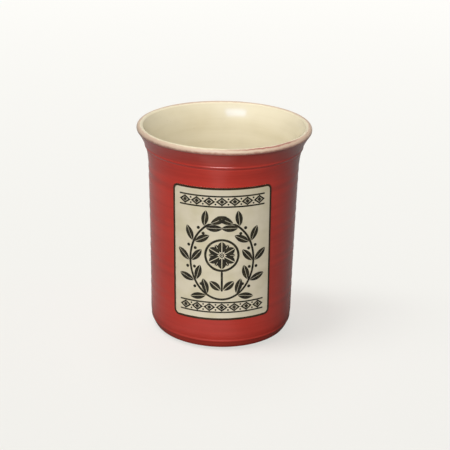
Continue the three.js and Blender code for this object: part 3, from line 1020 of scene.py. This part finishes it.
class MUG_OT_stage(bpy.types.Operator):
    """Sets the pale floor, the soft lights and the camera"""

    bl_idname = "mug.stage"
    bl_label = "Stage"

    floor_size = 12
    aim = Vector((0, 0, 55.4 * MM))
    # Soft lights: what they light, degrees round the mug and above the floor, strength, and width in degrees
    soft = {
        "front": ("outside", -9, 24, 2.6, 40),
        "left": ("outside", -25, 40, 0.55, 30),
        "top": ("outside", -10, 80, 1.2, 60),
        "back_right": ("outside", 165, 24, 1.5, 20),
        "back_left": ("outside", 203, 24, 1.5, 20),
        "low_lip": ("lip", 0, 4, 1.55, 30),
        "back_lip": ("lip", 184, 2, 2.2, 60),
        "inner_front": ("inside", -3, 46, 2.25, 52),
        "inner_left": ("liner", -60, 45, 0.65, 40),
        "over": ("inside", 0, 85, 1.5, 120),
        "floor_front": ("floor", 4, 30, 3.5, 8),
        "floor_back": ("floor", 184, 72, 0.4, 30),
        "floor_side_low": ("floor", -66, 54, 0.45, 34),
        "floor_side_middle": ("floor", -66, 66, 0.45, 22),
        "floor_side_high": ("floor", -66, 78, 0.45, 10),
    }
    # Panes that show only in the gloss: what mirrors them, degrees, strength, colour, width and height
    mirrored = {
        "window": ("mug", -16, 42, 2.9, (0.47, 0.65, 1), 0.46, 0.26),
        "strip": ("red", 0, 5, 5, (1, 1, 1), 0.5, 0.2),
    }
    warm = (1, 0.98, 0.87)
    sky, sky_gloss = 0.05, 0.34
    # The camera's lens and shift are worked out in pixels of its frame
    distance, rise, roll = 0.605, math.radians(21.42), math.radians(1.14)
    sensor, frame_pixels, focal_pixels, shift_pixels = 36, 450, 1150, (2.52, -1.07)

    def execute(self, context):
        scene = context.scene
        scene.view_settings.view_transform = "Standard"
        floor = start_piece("studio_floor", bpy.ops.mesh.primitive_plane_add, size=self.floor_size)
        bpy.ops.object.mode_set(mode="OBJECT")
        floor.data.materials.append(floor_material())
        mug = [o for o in scene.objects if o.type == "MESH" and o is not floor]
        liner, lip, red = (bpy.data.objects[name]
                           for name in ("cream_liner_glaze", "thin_lip_glaze", "red_wall_glaze"))
        groups = {"mug": mug, "outside": [piece for piece in mug if piece not in (liner, lip)], "red": [red],
                  "inside": [liner, lip], "liner": [liner], "lip": [lip], "floor": [floor]}
        for name, (group, turn, rise, energy, wide) in self.soft.items():
            self.lamp(name, "SUN", groups[group], turn, rise, energy=energy, angle=math.radians(wide))
        bpy.data.lights["over"].color = self.warm
        for name, (group, turn, rise, energy, tint, wide, tall) in self.mirrored.items():
            light = self.lamp(name, "AREA", groups[group], turn, rise, energy=energy, color=tint,
                              shape="RECTANGLE", size=wide, size_y=tall)
            light.visible_glossy = True
            light.visible_diffuse = False
        self.surroundings(scene)
        self.camera(scene)
        return {"FINISHED"}

    def lamp(self, name, kind, lit, turn, rise, **settings):
        """A lamp a metre off, at degrees round the mug and above the floor, that lights what is listed."""
        data = bpy.data.lights.new(name, kind)
        for key, value in settings.items():
            setattr(data, key, value)
        light = bpy.data.objects.new(name, data)
        bpy.context.scene.collection.objects.link(light)
        back = bearing(math.radians(turn), math.radians(rise))
        light.location = self.aim + back
        light.rotation_euler = back.to_track_quat("Z", "Y").to_euler()
        light.visible_camera = light.visible_glossy = False
        light.light_linking.receiver_collection = bpy.data.collections.new(f"lit_by_{name}")
        for piece in lit:
            light.light_linking.receiver_collection.objects.link(piece)
        return light

    def surroundings(self, scene):
        """A dim pale room that shows more in the gloss."""
        scene.world = bpy.data.worlds.new("studio")
        scene.world.use_nodes = True
        tree = scene.world.node_tree
        ray = add_node(tree, "LightPath")
        level = add_node(tree, "Math", {0: ray.outputs["Is Glossy Ray"], 1: self.sky_gloss, 2: self.sky},
                         operation="MULTIPLY_ADD")
        room = tree.nodes["Background"]
        room.inputs["Color"].default_value = linear("#fbf9f4")
        tree.links.new(level.outputs[0], room.inputs["Strength"])

    def camera(self, scene):
        """Looks at the mug from the label's side, a little above and a little rolled."""
        turn = sizes().label_turn
        back = bearing(turn, self.rise)
        right = Vector((math.cos(turn), math.sin(turn), 0))
        up = back.cross(right)
        tilted = right * math.cos(self.roll) + up * math.sin(self.roll)
        upright = up * math.cos(self.roll) - right * math.sin(self.roll)
        camera = bpy.data.objects.new("camera", bpy.data.cameras.new("camera"))
        scene.collection.objects.link(camera)
        axes = Matrix((tilted, upright, back)).transposed().to_4x4()
        camera.matrix_world = Matrix.Translation(self.aim + back * self.distance) @ axes
        camera.data.sensor_width = self.sensor
        camera.data.lens = self.focal_pixels * self.sensor / self.frame_pixels
        camera.data.shift_x, camera.data.shift_y = (shift / self.frame_pixels for shift in self.shift_pixels)
        camera.data.clip_start = 0.01
        camera.data.clip_end = 100
        scene.camera = camera


class MUG_PT_panel(bpy.types.Panel):
    """Lists the pieces of the mug, its sizes and its colours"""

    bl_idname = "MUG_PT_panel"
    bl_label = "Stoneware Mug"
    bl_space_type = "VIEW_3D"
    bl_region_type = "UI"
    bl_category = "Mug"

    def draw(self, context):
        for operator in OPERATORS:
            self.layout.operator(operator.bl_idname)
        for group in (context.scene.mug_sizes, context.scene.mug_colours):
            box = self.layout.box()
            for name in group.__annotations__:
                box.prop(group, name)


OPERATORS = (MUG_OT_clay, MUG_OT_wall_glaze, MUG_OT_liner_glaze, MUG_OT_lip_glaze, MUG_OT_handle,
             MUG_OT_label, MUG_OT_print, MUG_OT_stage)
CLASSES = (MugSizes, MugColours, *OPERATORS, MUG_PT_panel)


def register():
    for cls in CLASSES:
        bpy.utils.register_class(cls)
    bpy.types.Scene.mug_sizes = PointerProperty(type=MugSizes)
    bpy.types.Scene.mug_colours = PointerProperty(type=MugColours)


def unregister():
    del bpy.types.Scene.mug_colours
    del bpy.types.Scene.mug_sizes
    for cls in reversed(CLASSES):
        bpy.utils.unregister_class(cls)


def main():
    register()
    bpy.ops.mug.clay()
    bpy.ops.mug.wall_glaze()
    bpy.ops.mug.liner_glaze()
    bpy.ops.mug.lip_glaze()
    bpy.ops.mug.handle()
    bpy.ops.mug.label()
    bpy.ops.mug.print()
    bpy.ops.mug.stage()


if __name__ == "__main__":
    main()
